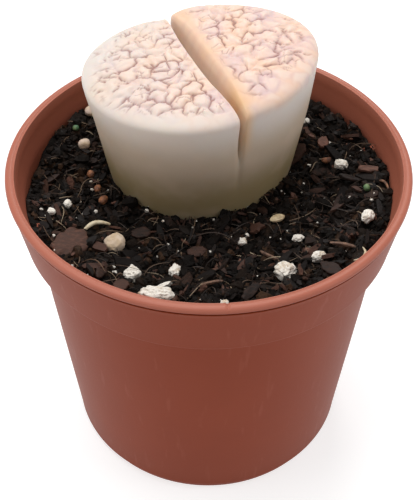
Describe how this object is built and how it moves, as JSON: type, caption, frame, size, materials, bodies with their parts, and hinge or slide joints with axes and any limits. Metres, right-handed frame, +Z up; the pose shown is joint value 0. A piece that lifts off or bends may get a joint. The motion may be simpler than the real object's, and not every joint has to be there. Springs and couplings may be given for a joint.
{
  "type": "potted living stone plant",
  "caption": "Round tapered nursery pot of dark potting mix holding a fused pair of thick succulent leaves with a slit and netted top.",
  "frame": {"origin": "middle of the pot's foot, on the surface it stands on", "axes": "+Z up along the pot's axis; -Y is the front, where the slit between the leaves runs down; +X is to the right"},
  "size_m": [0.055, 0.055, 0.0611],
  "materials": {
    "pot_plastic": "terracotta-coloured injection-moulded polypropylene, satin, finely scuffed, paler along the lip",
    "peat_mix": "dark damp peat with fibres, crumbs and small bark, very rough",
    "succulent_skin": "waxy matt skin, peach and pink-grey islands parted by short rusty lines, olive cream low on the flanks",
    "perlite": "white expanded volcanic glass, pitted and stained by the mix",
    "pebble_stone": "cream and pinkish-grey worn pebble, fine grain",
    "bark": "brown pine bark, layered and rough",
    "wood_fibre": "split wood sliver with long grain",
    "root_fibre": "pale dry root, matt",
    "dry_leaf": "brown curled dry leaf, thin and brittle",
    "seed_husk": "straw-coloured husk with fine ribs",
    "green_prill": "coated slow-release fertiliser grain, dull green",
    "orange_prill": "coated slow-release fertiliser grain, dull orange-brown"
  },
  "bodies": {
    "root": {"bark_chip_01": "bark", "bark_chip_02": "bark", "bark_chip_03": "bark", "bark_chip_04": "bark", "bark_chip_05": "bark", "bark_chip_06": "bark", "bark_chip_07": "bark", "bark_chip_08": "bark", "bark_chip_09": "bark", "bark_chip_10": "bark", "bark_chip_11": "bark", "bark_chip_12": "bark", "curled_leaf": "dry_leaf", "green_prill_01": "green_prill", "green_prill_02": "green_prill", "living_stone": "succulent_skin", "orange_prill_01": "orange_prill", "orange_prill_02": "orange_prill", "orange_prill_03": "orange_prill", "orange_prill_04": "orange_prill", "pebble_01": "pebble_stone", "pebble_02": "pebble_stone", "pebble_03": "pebble_stone", "perlite_01": "perlite", "perlite_02": "perlite", "perlite_03": "perlite", "perlite_04": "perlite", "perlite_05": "perlite", "perlite_06": "perlite", "perlite_07": "perlite", "perlite_08": "perlite", "perlite_09": "perlite", "perlite_10": "perlite", "perlite_11": "perlite", "perlite_12": "perlite", "perlite_13": "perlite", "perlite_14": "perlite", "pot": "pot_plastic", "potting_mix": "peat_mix", "root_fibre_01": "root_fibre", "root_fibre_02": "root_fibre", "seed_husk": "seed_husk", "wood_sliver_01": "wood_fibre", "wood_sliver_02": "wood_fibre", "wood_sliver_03": "wood_fibre"}
  },
  "joints": []
}
